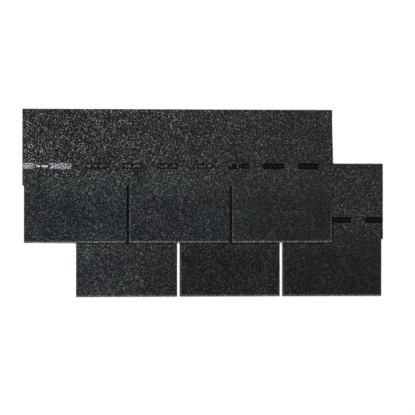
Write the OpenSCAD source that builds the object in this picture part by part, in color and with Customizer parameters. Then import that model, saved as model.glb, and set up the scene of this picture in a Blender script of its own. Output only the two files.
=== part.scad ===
// Two three-tab strip shingles of asphalt, one lapped over the other and
// shifted sideways by half a tab, as they lie loose on a level floor.
// Units are millimetres. +X runs along the strips, +Y from the tabs to the
// head edge, +Z up. The origin is on the floor, under the middle of the pair.

/* [Sheet] */
// Length of one strip, along X
sheet_l = 1000; // [800:1:1200]
// Depth of one strip, from the front edge of its tabs to its head edge
sheet_w = 336; // [300:1:400]
// Thickness of the coated mat with its granules
sheet_t = 3; // [2:0.1:5]

/* [Tabs] */
// Number of tabs in a strip
tab_count = 3; // [2:1:5]
// Length of the slots that part the tabs
slot_l = 144; // [100:1:170]
// Width of a slot; each end of the strip has half of one
slot_w = 10; // [6:0.5:16]

/* [Seal strip] */
// Length of one dash of adhesive
dash_l = 68; // [30:1:90]
// Bare gap between two dashes
dash_gap = 46.6; // [20:0.1:80]
// Width of a dash, across the strip
dash_w = 15; // [10:0.5:20]
// Height of a dash above the granules
dash_t = 0.6; // [0.3:0.1:1.5]
// Corner radius of a dash
dash_r = 4; // [1:0.5:4]
// From the top of the slots to the middle of the dashes
dash_above_slots = 49; // [20:1:80]
// Where the upper strip's first dash starts, from its left end, which cuts it
upper_dash_start = -30.3; // [-60:0.1:60]
// Where the lower strip's first dash starts, from its left end
lower_dash_start = 25.7; // [-60:0.1:60]

/* [Lay] */
// How far the upper strip sits back from the lower one, along Y
exposure = 136; // [110:1:170]
// Length over which the upper strip's free margins come down to the floor
drape_run = 110; // [60:1:130]

/* [Hidden] */

$fn = 48;
over = 1;            // how far a cutting shape runs past what it cuts
drape_steps = 8;     // straight pieces in each S-shaped drape

tab_pitch = sheet_l / tab_count;
side_offset = tab_pitch / 2;
lift = sheet_t + dash_t;   // the upper strip lies on the lower strip's dashes
dash_pitch = dash_l + dash_gap;

pair_l = sheet_l + side_offset;
pair_w = sheet_w + exposure;
lower_x = side_offset - pair_l / 2;   // left end of the lower strip
lower_y = -pair_w / 2;                // front edge of the lower strip
upper_x = -pair_l / 2;
upper_y = exposure - pair_w / 2;

asphalt = [0.20, 0.20, 0.21];
adhesive = [0.05, 0.05, 0.06];

// Share of the lift that is left at share s of the drape's run
function drape(s) = 1 - s * s * (3 - 2 * s);

// Outline of one strip, its left end and front edge on the axes
module strip_outline() {
    difference() {
        square([sheet_l, sheet_w]);
        for (i = [0 : tab_count])
            translate([i * tab_pitch - slot_w / 2, -over])
                square([slot_w, slot_l + over]);
    }
}

// One dash of adhesive, its left end on the Y axis, centred on the X axis
module dash_outline() {
    translate([0, dash_r - dash_w / 2]) square([dash_l, dash_w - 2 * dash_r]);
    translate([dash_r, -dash_w / 2]) square([dash_l - 2 * dash_r, dash_w]);
    for (x = [dash_r, dash_l - dash_r], y = [dash_r - dash_w / 2, dash_w / 2 - dash_r])
        translate([x, y]) circle(r = dash_r);
}

// The row of dashes on one strip; what would pass its ends is cut off
module dash_row(start) {
    intersection() {
        for (i = [0 : ceil((sheet_l - start) / dash_pitch) - 1])
            translate([start + i * dash_pitch, slot_l + dash_above_slots]) dash_outline();
        square([sheet_l, sheet_w]);
    }
}

// Everything below the upper strip's resting surface raised by h, seen along Y:
// flat on the lower strip, then down to the floor past its left end
module below_along_x(h) {
    left_points = [for (i = [0 : drape_steps])
        [lower_x - drape_run * i / drape_steps, h + lift * drape(i / drape_steps)]];
    far_x = min(upper_x, lower_x - drape_run) - over;
    translate([0, upper_y + sheet_w + over, 0])
        rotate([90, 0, 0])
            linear_extrude(sheet_w + 2 * over)
                polygon(concat(
                    [[upper_x + sheet_l + over, -over], [upper_x + sheet_l + over, h + lift]],
                    left_points,
                    [[far_x, h], [far_x, -over]]));
}

// The same seen along X: down to the floor past the lower strip's head edge
module below_along_y(h) {
    head_y = lower_y + sheet_w;
    back_points = [for (i = [0 : drape_steps])
        [head_y + drape_run * i / drape_steps, h + lift * drape(i / drape_steps)]];
    far_y = max(upper_y + sheet_w, head_y + drape_run) + over;
    translate([upper_x - over, 0, 0])
        rotate([90, 0, 90])
            linear_extrude(sheet_l + 2 * over)
                polygon(concat(
                    [[upper_y - over, -over], [upper_y - over, h + lift]],
                    back_points,
                    [[far_y, h], [far_y, -over]]));
}

// A layer that lies on the lower strip and droops to the floor past it,
// from height low to height high above the upper strip's underside
module draped_layer(low, high) {
    difference() {
        intersection() {
            below_along_x(high);
            below_along_y(high);
        }
        intersection() {
            below_along_x(low);
            below_along_y(low);
        }
    }
}

module lower_shingle() {
    color(asphalt)
        translate([lower_x, lower_y, 0])
            linear_extrude(sheet_t) strip_outline();
}

module lower_seal_strip() {
    color(adhesive)
        translate([lower_x, lower_y, sheet_t])
            linear_extrude(dash_t) dash_row(lower_dash_start);
}

module upper_shingle() {
    color(asphalt)
        intersection() {
            draped_layer(0, sheet_t);
            translate([upper_x, upper_y, -over])
                linear_extrude(lift + sheet_t + 2 * over) strip_outline();
        }
}

module upper_seal_strip() {
    color(adhesive)
        intersection() {
            draped_layer(sheet_t, sheet_t + dash_t);
            translate([upper_x, upper_y, -over])
                linear_extrude(lift + sheet_t + dash_t + 2 * over) dash_row(upper_dash_start);
        }
}

lower_shingle();
upper_shingle();
lower_seal_strip();
upper_seal_strip();
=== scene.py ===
"""Two three-tab strip shingles of asphalt, one lapped over the other, as they lie on a floor."""

import math

import bpy
import numpy as np
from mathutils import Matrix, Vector
from mathutils.kdtree import KDTree


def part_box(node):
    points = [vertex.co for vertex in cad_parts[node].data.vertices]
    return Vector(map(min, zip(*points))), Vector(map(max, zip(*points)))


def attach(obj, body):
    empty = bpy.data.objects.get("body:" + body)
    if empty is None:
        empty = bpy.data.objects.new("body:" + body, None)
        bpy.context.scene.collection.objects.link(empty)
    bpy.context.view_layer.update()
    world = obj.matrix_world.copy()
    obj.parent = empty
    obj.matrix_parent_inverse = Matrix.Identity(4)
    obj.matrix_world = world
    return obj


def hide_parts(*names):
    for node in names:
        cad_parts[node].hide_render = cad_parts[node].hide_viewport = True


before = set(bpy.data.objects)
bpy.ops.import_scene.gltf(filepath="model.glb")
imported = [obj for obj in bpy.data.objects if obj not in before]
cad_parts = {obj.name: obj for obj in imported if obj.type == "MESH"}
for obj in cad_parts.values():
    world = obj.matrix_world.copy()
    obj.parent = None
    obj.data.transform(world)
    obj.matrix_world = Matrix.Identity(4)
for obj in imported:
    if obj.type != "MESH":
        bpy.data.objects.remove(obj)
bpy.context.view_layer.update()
bpy.ops.object.select_all(action="DESELECT")


# --- Lower shingle ---------------------------------------------------------------------------
# The strip that lies on the floor. A glass mat is soaked and coated with asphalt, mineral
# granules are rolled into its face and fine sand into its back, and one stroke of a die cuts
# the strip out of the web with its slots and the half slot at each end.

tab_count = 3
slot_w = 0.010  # between two tabs; the die leaves half of it at each end of the strip
slot_l = 0.144
sheet_t = 0.003
slot_columns = 6  # grid columns across a slot
slot_rows = 66  # grid rows along a slot
granule_relief = 0.00035  # how far a granule stands out of line
back_pitch = 0.02  # spacing of the coarse grid on the back
rim_reach = 0.007  # how far the pale rim, crushed mineral with painted edge highlight, shows from the cut outline
rim_fade = 0.55  # how much of the pale rim is gone at the top of a slot
rim_least, rim_side = 0.25, 0.7  # the pale rim where the die goes in, and beside the slots, where it is also a painted edge highlight
map_gap = 0.004  # room between two parts of the map that the finishes are baked through
back_scale = 0.5  # size of the back and walls on that map, where the face is full size
granule_size = 0.0019
face_slot, edge_slot, back_slot = 0, 1, 2  # a strip's finishes


def pick_faces(piece, chosen):
    """Leaves only the chosen faces of the piece selected."""
    mesh = piece.data
    mesh.vertices.foreach_set("select", np.zeros(len(mesh.vertices), bool))
    mesh.edges.foreach_set("select", np.zeros(len(mesh.edges), bool))
    mesh.polygons.foreach_set("select", chosen)


def face_vectors(piece, what):
    """The center or normal of each face of the piece, one row each."""
    found = np.empty(len(piece.data.polygons) * 3)
    piece.data.polygons.foreach_get(what, found)
    return found.reshape(-1, 3)


def point_places(piece):
    """The place of each vertex of the piece, one row each."""
    found = np.empty(len(piece.data.vertices) * 3)
    piece.data.vertices.foreach_get("co", found)
    return found.reshape(-1, 3)


def lie_on(piece, target, group=""):
    """Moves the piece's points, or those of one vertex group, to the nearest place on target."""
    wrap = piece.modifiers.new("lie on", "SHRINKWRAP")
    wrap.target = target
    wrap.wrap_method = "NEAREST_SURFACEPOINT"
    wrap.vertex_group = group
    bpy.ops.object.modifier_apply(modifier=wrap.name)


def nearness(piece, faces, reach):
    """How near each point of the piece is to the faces, in plan: 1 on them, 0 from reach."""
    places = point_places(piece) * (1, 1, 0)
    corners = {i for face in faces for i in face.vertices}
    tree = KDTree(len(corners))
    for i in corners:
        tree.insert(places[i], i)
    tree.balance()
    return np.array([max(0, 1 - tree.find(place)[2] / reach) for place in places])


def flatten_map(piece, low, size):
    """The map the finishes are baked through. It holds the face full size, its two halves one
    above the other, and beside them the back at half size with the walls in rows above it."""
    mesh = piece.data
    corners = np.empty(len(mesh.loops), np.int32)
    mesh.loops.foreach_get("vertex_index", corners)
    spread = np.repeat(np.arange(len(mesh.polygons)), [p.loop_total for p in mesh.polygons])
    kinds = np.empty(len(mesh.polygons), np.int32)
    mesh.polygons.foreach_get("material_index", kinds)
    x, y, z = (point_places(piece)[corners] - low).T
    right = face_vectors(piece, "center")[spread, 0] - low.x > size.x / 2
    column = size.x / 2 + map_gap  # where the back starts
    layout = {
        face_slot: (x - right * size.x / 2, y + right * (size.y + map_gap)),
        back_slot: (column + y * back_scale, x * back_scale),
    }

    # a row for each straight wall, and three for one as long as the strip
    centres, normals = face_vectors(piece, "center") - low, face_vectors(piece, "normal")
    sideways = np.abs(normals[:, 0]) > 0.5
    thirds = np.floor(centres[:, 0] / size.x * tab_count)
    planes = np.where(sideways, centres[:, 0], centres[:, 1] + thirds + 10).round(4)
    planes[kinds != edge_slot] = 0
    row = np.unique(planes, return_inverse=True)[1][spread]
    along = np.where(sideways[spread], y, x - thirds[spread] * size.x / tab_count)
    row_pitch = map_gap * 1.5  # clears the walls, which are full height
    layout[edge_slot] = (
        column + along * back_scale,
        size.x * back_scale + row_pitch * (0.5 + row) + z,
    )

    side = size.y * 2 + map_gap * 2
    places = np.empty((len(corners), 2))
    for kind, (u, v) in layout.items():
        chosen = kinds[spread] == kind
        places[chosen] = np.stack((u, v), 1)[chosen] / side
    mesh.uv_layers.new(name="OFBake").data.foreach_set("uv", places.ravel())


def die_cut_strip(name, cad_name, finishes, seed):
    """One whole strip: a fine grid for the granule face, with its slots, walls and back."""
    low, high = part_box(cad_name)
    size = high - low
    columns = round(size.x / slot_w * slot_columns)
    rows = round(size.y / slot_l * slot_rows)
    bpy.ops.mesh.primitive_grid_add(
        x_subdivisions=columns,
        y_subdivisions=rows,
        size=1,
        location=((low.x + high.x) / 2, (low.y + high.y) / 2, high.z),
    )
    strip = bpy.context.object
    strip.name = strip.data.name = name
    strip.scale = (size.x, size.y, 1)
    bpy.ops.object.transform_apply(location=True, rotation=True, scale=True)
    for finish in finishes:
        strip.data.materials.append(finish)

    # the die takes out the slots
    centres = face_vectors(strip, "center")
    pitch = size.x / tab_count
    from_slot = np.abs((centres[:, 0] - low.x + pitch / 2) % pitch - pitch / 2)
    pick_faces(strip, (from_slot < slot_w / 2) & (centres[:, 1] < low.y + slot_l))
    bpy.ops.object.mode_set(mode="EDIT")
    bpy.ops.mesh.select_mode(type="FACE")
    bpy.ops.mesh.delete(type="FACE")

    # walls down from the outline, then the back closes them
    bpy.ops.mesh.select_mode(type="EDGE")
    bpy.ops.mesh.select_all(action="SELECT")
    bpy.ops.mesh.region_to_loop()
    bpy.ops.mesh.extrude_edges_move(TRANSFORM_OT_translate={"value": (0, 0, -sheet_t)})
    bpy.ops.mesh.edge_face_add()
    bpy.ops.mesh.select_all(action="SELECT")
    bpy.ops.mesh.normals_make_consistent(inside=False)
    bpy.ops.object.mode_set(mode="OBJECT")
    normals = face_vectors(strip, "normal")
    finish_slots = np.full(len(normals), edge_slot, np.int32)
    finish_slots[normals[:, 2] > 0.5] = face_slot
    finish_slots[normals[:, 2] < -0.5] = back_slot
    strip.data.polygons.foreach_set("material_index", finish_slots)

    # the back is cut into a coarse grid, so that it can bend with the face
    strip.active_material_index = back_slot
    bpy.ops.object.mode_set(mode="EDIT")
    for axis in (0, 1):
        across = Vector((axis == 0, axis == 1, 0))
        for k in range(1, math.ceil(size[axis] / back_pitch)):
            bpy.ops.mesh.select_all(action="DESELECT")
            bpy.ops.object.material_slot_select()
            place = low + across * k * back_pitch
            bpy.ops.mesh.bisect(plane_co=place, plane_no=across, threshold=1e-5)
    bpy.ops.object.mode_set(mode="OBJECT")

    flatten_map(strip, low, size)

    # both sides take the shape in which the CAD strip lies
    on_face = point_places(strip)[:, 2] > high.z - sheet_t / 2
    sides = {"face": on_face, "back": ~on_face}
    for side, chosen in sides.items():
        group = strip.vertex_groups.new(name=side)
        group.add(np.flatnonzero(chosen).tolist(), 1, "REPLACE")
    lie_on(strip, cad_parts[cad_name], "face")
    bpy.ops.object.mode_set(mode="EDIT")
    bpy.ops.mesh.select_mode(type="VERT")
    bpy.ops.mesh.select_all(action="DESELECT")
    strip.vertex_groups.active = strip.vertex_groups["back"]
    bpy.ops.object.vertex_group_select()
    bpy.ops.transform.translate(value=(0, 0, -high.z))
    bpy.ops.object.mode_set(mode="OBJECT")
    lie_on(strip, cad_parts[cad_name], "back")

    # pale crushed granules along the cuts, stronger at the front edges of the tabs, up the
    # right-hand side of each slot and at the strip's right end, where the pale rim is also a
    # painted edge highlight
    walls = [p for p in strip.data.polygons if p.material_index == edge_slot]
    front = [p for p in walls if p.normal.y < -0.5 and p.center.y < low.y + slot_l / 2]
    right = [p for p in walls if p.normal.x < -0.5 and p.center.x > low.x + slot_w]
    right += [p for p in walls if p.normal.x > 0.5 and p.center.x > high.x - slot_w]
    fade = np.clip(1 - (point_places(strip)[:, 1] - low.y) / slot_l * rim_fade, 0, 1)
    rim = np.zeros(len(strip.data.vertices))
    for some, share in ((walls, rim_least), (right, fade * rim_side), (front, 1)):
        rim = np.maximum(rim, share * nearness(strip, some, rim_reach))
    attribute = strip.data.attributes.new("rim", "FLOAT", "POINT")
    attribute.data.foreach_set("value", rim)

    # the granules stand out of line
    bpy.ops.object.mode_set(mode="EDIT")
    bpy.ops.mesh.select_all(action="DESELECT")
    strip.vertex_groups.active = strip.vertex_groups["face"]
    bpy.ops.object.vertex_group_select()
    bpy.ops.transform.vertex_random(offset=granule_relief, uniform=0.3, normal=0, seed=seed)
    bpy.ops.object.mode_set(mode="OBJECT")
    return strip


def new_finish(name):
    """A new material; gives it, its node tree and its Principled shader."""
    finish = bpy.data.materials.new(name)
    finish.use_nodes = True
    return finish, finish.node_tree, finish.node_tree.nodes["Principled BSDF"]


def add_node(tree, kind, inputs, **settings):
    """Adds a node, sets its settings, and feeds its inputs: sockets are linked, values set."""
    node = tree.nodes.new(kind)
    for key, value in settings.items():
        setattr(node, key, value)
    for key, value in inputs.items():
        if isinstance(value, bpy.types.NodeSocket):
            tree.links.new(value, node.inputs[key])
        else:
            node.inputs[key].default_value = value
    return node


def maths(tree, operation, first, second=0.0):
    """A Math node's result."""
    return add_node(tree, "ShaderNodeMath", {0: first, 1: second}, operation=operation).outputs[0]


def step(tree, value, start, end):
    """0 up to start, 1 from end, a smooth rise between; end may be the lower one."""
    if start < end:
        low, high, bottom, top = start, end, 0.0, 1.0
    else:
        low, high, bottom, top = end, start, 1.0, 0.0
    inputs = {"Value": value, "From Min": low, "From Max": high, "To Min": bottom, "To Max": top}
    return add_node(
        tree, "ShaderNodeMapRange", inputs, interpolation_type="SMOOTHSTEP"
    ).outputs[0]


def blend(tree, share, first, second, way="MIX"):
    """A colour mix of first and second."""
    mix = add_node(tree, "ShaderNodeMix", {0: share, 6: first, 7: second}, data_type="RGBA")
    mix.blend_type = way
    return mix.outputs[2]


def colour_ramp(tree, value, stops):
    """A colour ramp through stops, each a position and a grey or a colour."""
    ramp = add_node(tree, "ShaderNodeValToRGB", {0: value})
    elements = ramp.color_ramp.elements
    while len(elements) < len(stops):
        elements.new(0.5)
    for element, (position, colour) in zip(elements, stops):
        element.position = position
        element.color = (*colour, 1)
    return ramp.outputs[0]


def noise(tree, place, size, detail=2.0):
    """Soft noise around 0.5 with patches of about the given size."""
    inputs = {"Vector": place, "Scale": 1 / size, "Detail": detail}
    return add_node(tree, "ShaderNodeTexNoise", inputs).outputs[0]


def tinted(tint, greys):
    """Ramp stops from pairs of position and grey, all of one tint."""
    return [(position, [grey * t for t in tint]) for position, grey in greys]


def granule_coat(name, low, seal_y, light_falloff, fall, crush_and_highlight, shadow_corner=None):
    """The granule face. Past the seal line come coarse headlap granules, slightly warm; the
    tabs have finer bluish slate ones. Between the two places along the strip in fall, the tabs
    go from the first tone of light_falloff to the second: painted shade, darker towards the right
    end, for the light falling off from the left. crush_and_highlight is how strong the pale rim
    along the cuts is, crushed mineral with a painted highlight of the edges. shadow_corner is the
    corner of what lies on the strip; under it, and in a thin line past its edges, the face is
    painted near black, a painted shadow."""
    finish, tree, shader = new_finish(name)
    place = add_node(tree, "ShaderNodeTexCoord", {}).outputs["Object"]
    axes = add_node(tree, "ShaderNodeSeparateXYZ", {0: place}).outputs
    waver = maths(tree, "MULTIPLY", noise(tree, place, 0.02), 0.03)
    up = maths(tree, "ADD", axes[1], waver)
    headlap = step(tree, up, seal_y - 0.025, seal_y + 0.015)
    tabs = maths(tree, "SUBTRACT", 1.0, headlap)
    warm = step(tree, up, seal_y - 0.002, seal_y + 0.022)
    far = step(tree, axes[0], low.x - 0.1, low.x + 1.1)
    dark = step(tree, axes[0], low.x + fall[0], low.x + fall[1])

    # each granule has its own tone, height and dullness
    granule = {"Vector": place, "Scale": 1 / granule_size}
    cells = add_node(tree, "ShaderNodeTexVoronoi", granule).outputs
    tone, tall, dull = add_node(tree, "ShaderNodeSeparateColor", {0: cells["Color"]}).outputs
    coarse = [(0, 0.001), (0.48, 0.008), (0.78, 0.045), (0.92, 0.14), (1, 0.42)]
    coarse = colour_ramp(tree, tone, tinted((1.0, 1.0, 1.0), coarse))
    fine = [(0, 0.002), (0.5, 0.011), (0.8, 0.04), (1, 0.16)]
    fine = colour_ramp(tree, tone, tinted((0.92, 1.0, 1.08), fine))
    colour = blend(tree, headlap, fine, coarse)

    # warm towards the far end of the headlap; slate blue to violet patches on the tabs
    warmth = maths(tree, "MULTIPLY", warm, step(tree, axes[0], low.x, low.x + 0.4))
    cast = blend(tree, warmth, (0.97, 1.0, 1.02, 1), (0.96, 0.96, 0.9, 1))
    colour = blend(tree, 1.0, colour, cast, "MULTIPLY")
    patch = step(tree, noise(tree, place, 0.11, 1), 0.35, 0.65)
    patch = blend(tree, patch, (1.04, 0.98, 1.02, 1), (0.95, 1.02, 1.0, 1))
    colour = blend(tree, tabs, colour, patch, "MULTIPLY")

    # clumps and blotches from the drum; towards the right end the speckle evens out, and the
    # tabs and headlap darken, painted shade for the light falling off from the left
    clump = step(tree, noise(tree, place, 0.005, 1), 0.25, 0.75)
    clump = blend(tree, clump, (0.25, 0.25, 0.25, 1), (2.0, 2.0, 2.0, 1))
    loose = maths(tree, "SUBTRACT", 0.65, maths(tree, "MULTIPLY", headlap, 0.4))
    colour = blend(tree, loose, colour, clump, "MULTIPLY")
    blotch = step(tree, noise(tree, place, 0.08, 3), 0.3, 0.7)
    blotch = blend(tree, blotch, (0.78, 0.79, 0.82, 1), (1.22, 1.2, 1.17, 1))
    colour = blend(tree, 1.0, colour, blotch, "MULTIPLY")
    even = maths(tree, "MULTIPLY", tabs, 0.2)
    even = maths(tree, "MAXIMUM", maths(tree, "MULTIPLY", far, 0.5), even)
    colour = blend(tree, even, colour, (0.024, 0.027, 0.028, 1))
    # painted shade: darker towards the right end, where the light from the left falls off
    tab_tone = blend(tree, dark, *light_falloff)
    headlap_tone = blend(tree, dark, (1.03, 1.04, 1.06, 1), (0.93, 0.93, 0.92, 1))
    colour = blend(tree, 1.0, colour, blend(tree, headlap, tab_tone, headlap_tone), "MULTIPLY")
    below_seal = step(tree, up, seal_y - 0.09, seal_y - 0.03)
    near_seal = maths(tree, "MULTIPLY", below_seal, tabs)
    colour = blend(tree, near_seal, colour, (1.47, 1.46, 1.36, 1), "MULTIPLY")

    # asphalt shows in the gaps; along the cuts a pale rim, crushed granules with painted edge
    # highlight
    edges = add_node(tree, "ShaderNodeTexVoronoi", granule, feature="DISTANCE_TO_EDGE").outputs[0]
    colour = blend(tree, step(tree, edges, 0.12, 0.02), colour, (0.002, 0.002, 0.002, 1))
    # painted highlight as well as crushed mineral: the pale rim along the cuts
    rim = add_node(tree, "ShaderNodeAttribute", {}, attribute_name="rim").outputs["Fac"]
    pale = tinted((0.98, 1.0, 1.01), [(0, 0.01), (0.4, 0.06), (1, 0.32)])
    ragged = maths(tree, "ADD", step(tree, noise(tree, place, 0.006, 2), 0.35, 0.6), 0.45)
    ragged = maths(tree, "MULTIPLY", ragged, crush_and_highlight)
    crushed_and_lit = maths(tree, "MULTIPLY", step(tree, rim, 0.1, 0.9), ragged)
    colour = blend(tree, crushed_and_lit, colour, colour_ramp(tree, tall, pale))
    # painted shadow: near black under the strip that lies on this one, and in a thin line past its
    # front and right edges
    if shadow_corner:
        left = step(tree, axes[0], shadow_corner[0] + 0.003, shadow_corner[0] - 0.001)
        behind = step(tree, axes[1], shadow_corner[1] - 0.0045, shadow_corner[1] - 0.001)
        painted_shadow = maths(tree, "MULTIPLY", maths(tree, "MULTIPLY", left, behind), 0.9)
        colour = blend(tree, painted_shadow, colour, (0.001, 0.001, 0.001, 1))

    relief = maths(tree, "SUBTRACT", maths(tree, "MULTIPLY", tall, 0.6), cells["Distance"])
    bump = add_node(
        tree, "ShaderNodeBump", {"Height": relief, "Strength": 0.6, "Distance": 0.0004}
    ).outputs[0]
    roughness = maths(tree, "ADD", maths(tree, "MULTIPLY", dull, 0.3), 0.6)
    shader.inputs["Specular IOR Level"].default_value = 0.05
    tree.links.new(colour, shader.inputs["Base Color"])
    tree.links.new(roughness, shader.inputs["Roughness"])
    tree.links.new(bump, shader.inputs["Normal"])
    return finish


def cut_edge(name):
    """The die-cut edge: black filled asphalt with pale mineral specks."""
    finish, tree, shader = new_finish(name)
    place = add_node(tree, "ShaderNodeTexCoord", {}).outputs["Object"]
    cells = add_node(tree, "ShaderNodeTexVoronoi", {"Vector": place, "Scale": 1 / 0.0012})
    shade = add_node(tree, "ShaderNodeSeparateColor", {0: cells.outputs["Color"]}).outputs[0]
    specks = tinted((1.0, 0.98, 0.94), [(0, 0.01), (0.6, 0.02), (0.85, 0.07), (1, 0.22)])
    colour = colour_ramp(tree, shade, specks)
    bump = add_node(
        tree, "ShaderNodeBump", {"Height": shade, "Strength": 0.5, "Distance": 0.0003}
    ).outputs[0]
    shader.inputs["Specular IOR Level"].default_value = 0.15
    shader.inputs["Roughness"].default_value = 0.75
    tree.links.new(colour, shader.inputs["Base Color"])
    tree.links.new(bump, shader.inputs["Normal"])
    return finish


def sanded_back(name):
    """The back: asphalt dusted with fine sand, with faint lines along the web."""
    finish, tree, shader = new_finish(name)
    place = add_node(tree, "ShaderNodeTexCoord", {}).outputs["Object"]
    lines = add_node(tree, "ShaderNodeMapping", {"Vector": place, "Scale": (0.05, 1, 1)}).outputs[0]
    sand = step(tree, noise(tree, place, 0.0008, 3), 0.35, 0.75)
    streak = step(tree, noise(tree, lines, 0.004, 3), 0.3, 0.7)
    streak = blend(tree, streak, (0.55, 0.55, 0.55, 1), (1.3, 1.3, 1.3, 1))
    colour = blend(tree, sand, (0.016, 0.016, 0.017, 1), (0.085, 0.08, 0.072, 1))
    colour = blend(tree, 0.5, colour, streak, "MULTIPLY")
    bump = add_node(
        tree, "ShaderNodeBump", {"Height": sand, "Strength": 0.35, "Distance": 0.0002}
    ).outputs[0]
    shader.inputs["Specular IOR Level"].default_value = 0.15
    shader.inputs["Roughness"].default_value = 0.85
    tree.links.new(colour, shader.inputs["Base Color"])
    tree.links.new(bump, shader.inputs["Normal"])
    return finish


seal_above_slots = 0.049
lower_low, lower_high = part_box("lower_shingle")
upper_low, upper_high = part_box("upper_shingle")
lower_seal_y = lower_low.y + slot_l + seal_above_slots
edge_finish, back_finish = cut_edge("cut_asphalt"), sanded_back("sanded_asphalt")
# painted shade: the lower strip's tabs go from lit at the left end to darker at the right
lower_light_falloff = (1.2, 1.2, 1.22, 1), (0.595, 0.55, 0.51, 1)
# the corner of the upper strip, from which the painted shadow on the lower strip is laid
lap_corner = upper_high.x, upper_low.y
lower_fall = (-0.02, 0.48)
lower_finishes = [
    granule_coat(
        "lower_granules", lower_low, lower_seal_y, lower_light_falloff, lower_fall, 0.6, lap_corner
    ),
    edge_finish,
    back_finish,
]
lower = die_cut_strip("lower_strip", "lower_shingle", lower_finishes, 3)
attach(lower, "root")
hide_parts("lower_shingle")


# --- Upper shingle ---------------------------------------------------------------------------
# The second strip, from the same die, lapped over the first and half a tab to its left. It lies
# on the first strip's seal dashes, and its free margins droop to the floor.

upper_seal_y = upper_low.y + slot_l + seal_above_slots
# painted shade: the upper strip's tabs go darker towards the right end
upper_light_falloff = (0.9, 0.92, 0.96, 1), (0.715, 0.685, 0.69, 1)
upper_fall = (0.3, 1.0)
upper_finishes = [
    granule_coat("upper_granules", upper_low, upper_seal_y, upper_light_falloff, upper_fall, 0.65),
    edge_finish,
    back_finish,
]
upper = die_cut_strip("upper_strip", "upper_shingle", upper_finishes, 8)
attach(upper, "root")
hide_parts("upper_shingle")


# --- Seal strips -----------------------------------------------------------------------------
# Dashes of polymer-modified asphalt, laid hot across each strip by a notched wheel. They set as
# low glossy beads with ragged ends, and bond the next strip once the sun has warmed them.

dash_l, dash_w, dash_h = 0.068, 0.015, 0.0006
dash_pitch = 0.1146
dash_cells = (34, 10)  # grid faces along and across a dash
round_from = 0.86  # share of a dash's half length from which its end is round
end_inset = 0.0003  # keeps a bead that the strip's end cuts off from its wall
nick_places, nick_least = 12, 0.96  # along each side of a dash; least share of its width
end_taper, end_fall = 0.45, 0.6  # how much narrower and lower a dash is at its ends
side_fall = 0.85  # how much lower it is at its sides
jitter_share = 0.3  # of a grid face, so that none turns over


def seal_bead(centre, size, low, high, strip, look, seed):
    """One bead on a strip, cut off at the strip's ends, low and high. look is how much painted
    silvery reflection it has, how much painted sheen on its crest, and how thin it ran."""
    start, end = max(centre[0] - size[0] / 2, low), min(centre[0] + size[0] / 2, high)
    middle, length = (start + end) / 2, end - start
    bpy.ops.object.select_all(action="DESELECT")
    bpy.ops.mesh.primitive_grid_add(
        x_subdivisions=dash_cells[0],
        y_subdivisions=dash_cells[1],
        size=1,
        location=(middle, centre[1], upper_high.z),
    )
    bead = bpy.context.object
    bead.scale = (length, size[1], 1)
    bpy.ops.object.transform_apply(location=True, rotation=True, scale=True)

    # ends that the wheel left round, and a ragged outline
    places = point_places(bead)
    bpy.ops.object.mode_set(mode="EDIT")
    bpy.ops.mesh.select_mode(type="VERT")
    bpy.ops.mesh.select_all(action="SELECT")
    jitter = jitter_share * min(length / dash_cells[0], size[1] / dash_cells[1])
    bpy.ops.transform.vertex_random(offset=jitter, uniform=0, normal=0, seed=seed)
    bpy.ops.object.mode_set(mode="OBJECT")
    along = np.abs(places[:, 0] - centre[0]) / (size[0] / 2)
    across = (places[:, 1] - centre[1]) / (size[1] / 2)
    past = np.clip((along - round_from) / (1 - round_from), 0, 1)
    chance = np.random.default_rng(seed)
    nick_x = np.linspace(start, end, nick_places)
    far_side = np.interp(places[:, 0], nick_x, chance.uniform(nick_least, 1, nick_places))
    near_side = np.interp(places[:, 0], nick_x, chance.uniform(nick_least, 1, nick_places))
    narrow = (1 - end_taper * past**2) * np.where(across > 0, far_side, near_side)
    moved = point_places(bead)
    moved[:, 0] = np.clip(moved[:, 0], low + end_inset, high - end_inset)
    moved[:, 1] = centre[1] + (moved[:, 1] - centre[1]) * narrow
    bead.data.vertices.foreach_set("co", moved.ravel())

    # the bead is thickest along its middle
    height = (1 - side_fall * np.abs(across) ** 2.5) * (1 - end_fall * past**2)
    group = bead.vertex_groups.new(name="height")
    for i, weight in enumerate(height):
        group.add([i], float(weight), "REPLACE")
    values = [(1 - np.abs(across)) * (1 - past)] + [np.full(len(past), share) for share in look]
    for label, value in zip(("crest", "glare", "sheen", "thin"), values):
        attribute = bead.data.attributes.new(label, "FLOAT", "POINT")
        attribute.data.foreach_set("value", value)
    lie_on(bead, strip)
    thick = bead.modifiers.new("thick", "SOLIDIFY")
    thick.thickness = size[2]
    thick.offset = 1
    thick.vertex_group = "height"
    bpy.ops.object.modifier_apply(modifier=thick.name)
    bpy.ops.object.shade_smooth_by_angle(angle=math.radians(50))
    return bead


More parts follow.
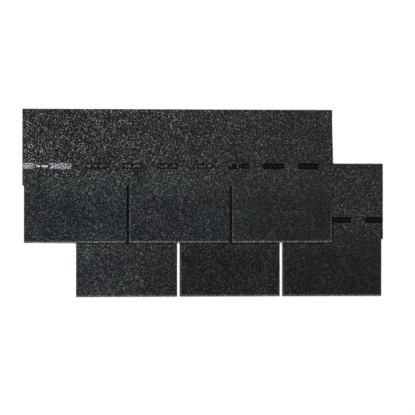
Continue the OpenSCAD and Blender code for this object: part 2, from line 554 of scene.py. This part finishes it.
def adhesive(name):
    """The set adhesive: black, with a painted highlight mottled along its crest, on some beads a
    painted sheen of blue with grey streaks on the crest, on the first beads a painted silvery
    reflection, and granules that show through where it ran thin."""
    finish, tree, shader = new_finish(name)
    place = add_node(tree, "ShaderNodeTexCoord", {}).outputs["Object"]
    crest, glare, sheen, thin = (
        add_node(tree, "ShaderNodeAttribute", {}, attribute_name=label).outputs["Fac"]
        for label in ("crest", "glare", "sheen", "thin")
    )
    # painted highlight: lighter mottled patches along each bead's crest
    speckle = step(tree, noise(tree, place, 0.004, 2), 0.42, 0.6)
    crest_highlight = maths(tree, "MULTIPLY", step(tree, crest, 0.3, 0.85), speckle)
    colour = blend(tree, crest_highlight, (0.0005, 0.0005, 0.0006, 1), (0.009, 0.009, 0.0095, 1))
    # painted sheen: a blue cast over the sheened beads, and grey streaks along their crests
    colour = blend(tree, maths(tree, "MULTIPLY", sheen, 0.8), colour, (0.0042, 0.0048, 0.0095, 1))
    sheen_streak = maths(tree, "MULTIPLY", sheen, step(tree, noise(tree, place, 0.009, 2), 0.42, 0.56))
    colour = blend(tree, maths(tree, "MULTIPLY", crest_highlight, sheen_streak), colour, (0.17, 0.17, 0.18, 1))

    cells = add_node(tree, "ShaderNodeTexVoronoi", {"Vector": place, "Scale": 1 / 0.0022})
    shade = add_node(tree, "ShaderNodeSeparateColor", {0: cells.outputs["Color"]}).outputs[0]
    granules = tinted((0.95, 1.0, 1.04), [(0, 0.002), (0.5, 0.008), (0.8, 0.04), (1, 0.2)])
    bare = maths(tree, "MULTIPLY", thin, step(tree, noise(tree, place, 0.012, 2), 0.5, 0.6))
    colour = blend(tree, bare, colour, colour_ramp(tree, shade, granules))

    # painted reflection: a mottled silvery grey on the glaring beads, paler where the reflection is
    # full
    glare_mottle = tinted((0.92, 0.97, 1.07), [(0.38, 0.01), (0.5, 0.16), (0.62, 0.7)])
    dusted = colour_ramp(tree, noise(tree, place, 0.0028, 4), glare_mottle)
    dusted = blend(tree, step(tree, glare, 0.7, 1.0), dusted, (0.55, 0.56, 0.59, 1))
    colour = blend(tree, maths(tree, "MINIMUM", glare, 0.75), colour, dusted)
    roughness = maths(tree, "ADD", maths(tree, "MULTIPLY", glare, 0.4), 0.3)
    wrinkle = {"Height": noise(tree, place, 0.003, 3), "Strength": 0.5, "Distance": 0.0008}
    bump = add_node(tree, "ShaderNodeBump", wrinkle).outputs[0]
    shader.inputs["Specular IOR Level"].default_value = 0.03
    tree.links.new(colour, shader.inputs["Base Color"])
    tree.links.new(roughness, shader.inputs["Roughness"])
    tree.links.new(bump, shader.inputs["Normal"])
    return finish


def seal_strip(name, cad_name, beads, finish):
    """Joins the beads of one strip into one piece."""
    bpy.ops.object.select_all(action="DESELECT")
    for bead in beads:
        bead.select_set(True)
    bpy.context.view_layer.objects.active = beads[0]
    bpy.ops.object.join()
    row = bpy.context.object
    row.name = row.data.name = name
    row.data.materials.append(finish)
    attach(row, "root")
    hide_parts(cad_name)


adhesive_finish = adhesive("seal_adhesive")
# a bead's look: its painted silvery reflection, its painted sheen, and how thin it ran; white is a
# full painted reflection
plain, glaring, sheened, white = (0, 0, 0), (0.7, 0, 0), (0, 1, 0), (1, 0, 0)
rows = {  # the strip's corners, its seal line, where its first bead starts, its beads' looks
    "lower": (lower_low, lower_high, lower_seal_y, 0.0257, [plain] * 9),
    "upper": (
        upper_low,
        upper_high,
        upper_seal_y,
        -0.0303,
        [glaring] * 2 + [sheened] * 2 + [(0, 0.6, 0.3), (0, 0.6, 0.8), (0, 0, 1)] + [plain] * 2,
    ),
}
drips = ((0.0485, (0.012, 0.004, 0.0005)), (0.069, (0.019, 0.005, 0.0006)))  # place, size
drip_sag = 0.001  # how far the drips lie below the seal line
for which, (low, high, seal_y, first, looks) in rows.items():
    beads = []
    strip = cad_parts[which + "_shingle"]
    for k, look in enumerate(looks):
        centre = (low.x + first + k * dash_pitch + dash_l / 2, seal_y)
        beads.append(seal_bead(centre, (dash_l, dash_w, dash_h), low.x, high.x, strip, look, k + 1))
    if which == "upper":  # drips that the wheel dragged between its first two dashes, painted silvery as a reflection
        for x, size in drips:
            centre = (low.x + x, seal_y - drip_sag)
            beads.append(seal_bead(centre, size, low.x, high.x, strip, white, 20))
    seal_strip(which + "_seal", which + "_seal_strip", beads, adhesive_finish)


# --- Floor, light and camera -----------------------------------------------------------------
# A plain white floor, a wide soft light overhead, a low one from the left, and a camera far off
# with a long lens. It leans to the left, so the strips look shorter than they are.

bpy.ops.mesh.primitive_plane_add(size=60)
floor = bpy.context.object
floor.name = "floor"
paper, _, shader = new_finish("floor_white")
shader.inputs["Base Color"].default_value = (0.9, 0.9, 0.9, 1)
shader.inputs["Roughness"].default_value = 1.0
shader.inputs["Specular IOR Level"].default_value = 0.0
floor.data.materials.append(paper)

world = bpy.data.worlds.new("studio")
bpy.context.scene.world = world
world.use_nodes = True
world.node_tree.nodes["Background"].inputs["Color"].default_value = (1, 1, 1, 1)
world.node_tree.nodes["Background"].inputs["Strength"].default_value = 0.85


def soft_light(name, place, aim, size, power):
    """A rectangular soft light at place that faces aim."""
    bpy.ops.object.light_add(type="AREA", location=place)
    light = bpy.context.object
    light.name = name
    light.data.shape = "RECTANGLE"
    light.data.size, light.data.size_y = size
    light.data.energy = power
    light.rotation_mode = "QUATERNION"
    light.rotation_quaternion = (Vector(place) - Vector(aim)).to_track_quat("Z", "Y")


soft_light("overhead", (-0.2, 0.1, 1.6), (-0.2, 0.1, 0), (2.1, 1.4), 14)
soft_light("key", (-1.7, 0.5, 0.75), (0, 0, 0), (0.5, 0.8), 9)

lean = math.radians(38.9)
aim = Vector((0.0098, -0.0114, 0.003))
field = 1.0475  # height and width of what the camera takes in, face on
camera_data = bpy.data.cameras.new("camera")
camera_data.lens = 1500
camera_data.sensor_width = 36
distance = field * camera_data.lens / camera_data.sensor_width
camera_data.clip_end = distance * 2
camera = bpy.data.objects.new("camera", camera_data)
bpy.context.scene.collection.objects.link(camera)
away = Vector((-math.sin(lean), 0, math.cos(lean)))
camera.location = aim + away * distance
camera.rotation_euler = (0, -lean, 0)
bpy.context.scene.camera = camera
bpy.context.scene.view_settings.view_transform = "Standard"
